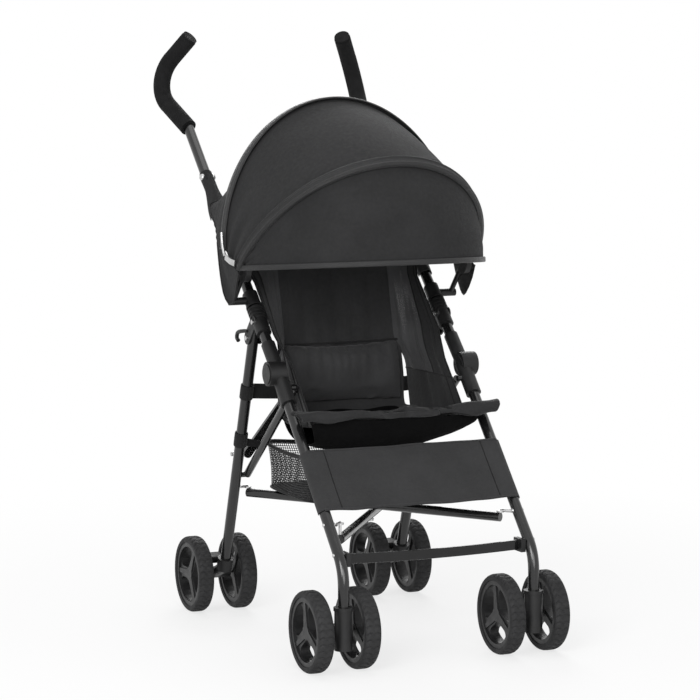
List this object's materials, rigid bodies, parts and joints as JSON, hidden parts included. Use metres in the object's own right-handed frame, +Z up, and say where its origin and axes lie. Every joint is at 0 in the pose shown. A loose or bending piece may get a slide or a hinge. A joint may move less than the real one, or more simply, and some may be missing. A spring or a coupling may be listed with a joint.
{
  "type": "umbrella stroller",
  "caption": "Folding umbrella stroller with tube side frames, crossed braces, twin swivel wheels, sling seat, leg panel, basket and bowed canopy.",
  "frame": {"origin": "floor level, midway between the side frames and between the front and rear axles", "axes": "+Z up, the stroller faces -Y, +X across the seat; left and right are named as seen from the front"},
  "size_m": [0.464, 0.8412, 1.0527],
  "materials": {
    "tube": "gloss black paint",
    "plastic": "satin",
    "foam": "matte foam",
    "steel": "zinc plated",
    "tyre": "matte",
    "cloth": "plain weave",
    "mesh_cloth": "open mesh",
    "gloss_strip": "gloss"
  },
  "bodies": {
    "centre": {"seat": "cloth", "left_wing": "mesh_cloth", "right_wing": "mesh_cloth", "leg_panel": "cloth", "foot_strip": "gloss_strip", "basket": "mesh_cloth", "back_strap": "cloth", "canopy_rear": "cloth", "canopy_main": "cloth", "lower_bolt": "steel", "back_bolt": "steel"},
    "left_frame": {"left_front_leg": "tube", "left_push_tube": "tube", "left_grip": "foam", "left_knee": "plastic", "left_top_bracket": "plastic", "left_rear_leg": "tube", "left_strut": "tube", "left_links": "steel", "left_foot_bracket": "plastic", "left_canopy_arm": "plastic", "left_rear_housing": "plastic"},
    "right_frame": {"right_front_leg": "tube", "right_push_tube": "tube", "right_grip": "foam", "right_knee": "plastic", "right_top_bracket": "plastic", "right_rear_leg": "tube", "right_strut": "tube", "right_links": "steel", "right_foot_bracket": "plastic", "right_canopy_arm": "plastic", "right_rear_housing": "plastic"},
    "lower_brace_a": {"lower_brace_a": "tube"},
    "lower_brace_b": {"lower_brace_b": "tube"},
    "back_brace_a": {"back_brace_a": "tube"},
    "back_brace_b": {"back_brace_b": "tube"},
    "left_caster": {"left_caster": "plastic"},
    "left_front_outer_wheel": {"left_front_outer_rim": "plastic", "left_front_outer_tyre": "tyre"},
    "left_front_inner_wheel": {"left_front_inner_rim": "plastic", "left_front_inner_tyre": "tyre"},
    "left_rear_outer_wheel": {"left_rear_outer_rim": "plastic", "left_rear_outer_tyre": "tyre"},
    "left_rear_inner_wheel": {"left_rear_inner_rim": "plastic", "left_rear_inner_tyre": "tyre"},
    "left_brake_pedal": {"left_brake": "plastic"},
    "right_caster": {"right_caster": "plastic"},
    "right_front_outer_wheel": {"right_front_outer_rim": "plastic", "right_front_outer_tyre": "tyre"},
    "right_front_inner_wheel": {"right_front_inner_rim": "plastic", "right_front_inner_tyre": "tyre"},
    "right_rear_outer_wheel": {"right_rear_outer_rim": "plastic", "right_rear_outer_tyre": "tyre"},
    "right_rear_inner_wheel": {"right_rear_inner_rim": "plastic", "right_rear_inner_tyre": "tyre"},
    "right_brake_pedal": {"right_brake": "plastic"},
    "canopy_front": {"canopy_visor": "cloth"}
  },
  "joints": [
    {"name": "fold_left", "type": "slide", "parent": "centre", "child": "left_frame", "axis": [1, 0, 0], "range_m": [0, 0.105], "deforming": ["seat", "left_wing", "right_wing", "leg_panel", "foot_strip", "basket", "back_strap", "canopy_rear", "canopy_main", "canopy_visor"]},
    {"name": "fold_right", "type": "slide", "parent": "centre", "child": "right_frame", "axis": [-1, 0, 0], "range_m": [0, 0.105]},
    {"name": "lower_brace_a_turn", "type": "hinge", "parent": "centre", "child": "lower_brace_a", "pos_m": [0, -0.028, 0.221], "axis": [0, 0, -1], "range_deg": [0, 25.89]},
    {"name": "lower_brace_b_turn", "type": "hinge", "parent": "centre", "child": "lower_brace_b", "pos_m": [0, -0.028, 0.221], "axis": [0, 0, 1], "range_deg": [0, 25.89]},
    {"name": "back_brace_a_turn", "type": "hinge", "parent": "centre", "child": "back_brace_a", "pos_m": [0, 0.18307, 0.48999], "axis": [0, -1, 0], "range_deg": [0, 27.58]},
    {"name": "back_brace_b_turn", "type": "hinge", "parent": "centre", "child": "back_brace_b", "pos_m": [0, 0.18307, 0.48999], "axis": [0, 1, 0], "range_deg": [0, 27.58]},
    {"name": "left_swivel", "type": "hinge", "parent": "left_frame", "child": "left_caster", "pos_m": [-0.176, -0.308, 0.1], "axis": [0, 0, 1], "continuous": true},
    {"name": "left_front_outer_wheel_spin", "type": "hinge", "parent": "left_caster", "child": "left_front_outer_wheel", "pos_m": [-0.218, -0.271, 0.069], "axis": [1, 0, 0], "continuous": true},
    {"name": "left_front_inner_wheel_spin", "type": "hinge", "parent": "left_caster", "child": "left_front_inner_wheel", "pos_m": [-0.134, -0.271, 0.069], "axis": [1, 0, 0], "continuous": true},
    {"name": "left_rear_outer_wheel_spin", "type": "hinge", "parent": "left_frame", "child": "left_rear_outer_wheel", "pos_m": [-0.218, 0.272, 0.069], "axis": [1, 0, 0], "continuous": true},
    {"name": "left_rear_inner_wheel_spin", "type": "hinge", "parent": "left_frame", "child": "left_rear_inner_wheel", "pos_m": [-0.134, 0.272, 0.069], "axis": [1, 0, 0], "continuous": true},
    {"name": "left_brake_press", "type": "hinge", "parent": "left_frame", "child": "left_brake_pedal", "pos_m": [-0.176, 0.2663, 0.09294], "axis": [-1, 0, 0], "range_deg": [0, 14]},
    {"name": "right_swivel", "type": "hinge", "parent": "right_frame", "child": "right_caster", "pos_m": [0.176, -0.308, 0.1], "axis": [0, 0, 1], "continuous": true},
    {"name": "right_front_outer_wheel_spin", "type": "hinge", "parent": "right_caster", "child": "right_front_outer_wheel", "pos_m": [0.218, -0.271, 0.069], "axis": [1, 0, 0], "continuous": true},
    {"name": "right_front_inner_wheel_spin", "type": "hinge", "parent": "right_caster", "child": "right_front_inner_wheel", "pos_m": [0.134, -0.271, 0.069], "axis": [1, 0, 0], "continuous": true},
    {"name": "right_rear_outer_wheel_spin", "type": "hinge", "parent": "right_frame", "child": "right_rear_outer_wheel", "pos_m": [0.218, 0.272, 0.069], "axis": [1, 0, 0], "continuous": true},
    {"name": "right_rear_inner_wheel_spin", "type": "hinge", "parent": "right_frame", "child": "right_rear_inner_wheel", "pos_m": [0.134, 0.272, 0.069], "axis": [1, 0, 0], "continuous": true},
    {"name": "right_brake_press", "type": "hinge", "parent": "right_frame", "child": "right_brake_pedal", "pos_m": [0.176, 0.2663, 0.09294], "axis": [-1, 0, 0], "range_deg": [0, 14]},
    {"name": "canopy_front_lift", "type": "hinge", "parent": "centre", "child": "canopy_front", "pos_m": [0, 0.036, 0.645], "axis": [-1, 0, 0], "range_deg": [0, 42], "deforming": ["canopy_visor"]}
  ],
  "couplings": [
    {"joint": "fold_right", "follows": "fold_left", "ratio": 1},
    {"joint": "lower_brace_a_turn", "follows": "fold_left", "rad_per_m": 4.3018},
    {"joint": "lower_brace_b_turn", "follows": "fold_left", "rad_per_m": 4.3018},
    {"joint": "back_brace_a_turn", "follows": "fold_left", "rad_per_m": 4.5827},
    {"joint": "back_brace_b_turn", "follows": "fold_left", "rad_per_m": 4.5827}
  ]
}
